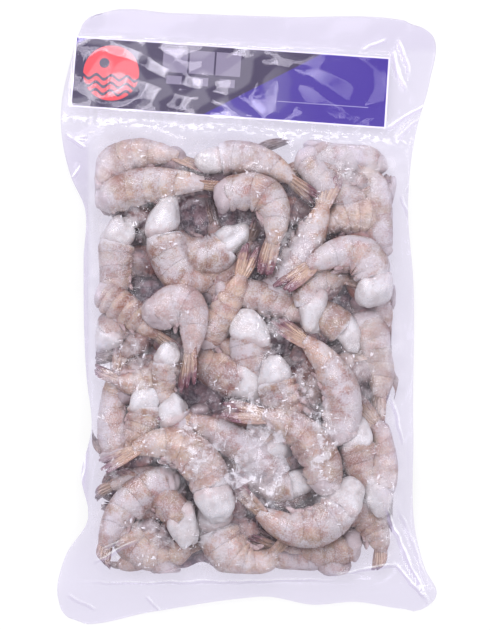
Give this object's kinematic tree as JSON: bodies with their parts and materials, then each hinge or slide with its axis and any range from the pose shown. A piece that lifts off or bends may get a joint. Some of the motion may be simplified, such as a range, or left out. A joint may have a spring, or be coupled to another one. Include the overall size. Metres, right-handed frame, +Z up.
{
  "type": "frozen raw prawn pack",
  "caption": "Flat clear film pack of frozen raw headless prawns, lying on its back, with a printed card sealed into its header.",
  "frame": {"origin": "middle of the bag's footprint, on the plane that the bag lies on", "axes": "+Z up out of the shown side, +Y from the bottom seal to the header, +X to the right seen from above"},
  "size_m": [0.2508, 0.4076, 0.0411],
  "materials": {
    "clear_film": "clear wrinkled film over frosted grey-pink prawns",
    "printed_card": "printed near-black and violet, under clear film"
  },
  "bodies": {
    "root": {"bag": "clear_film", "header_card": "printed_card"}
  },
  "joints": []
}
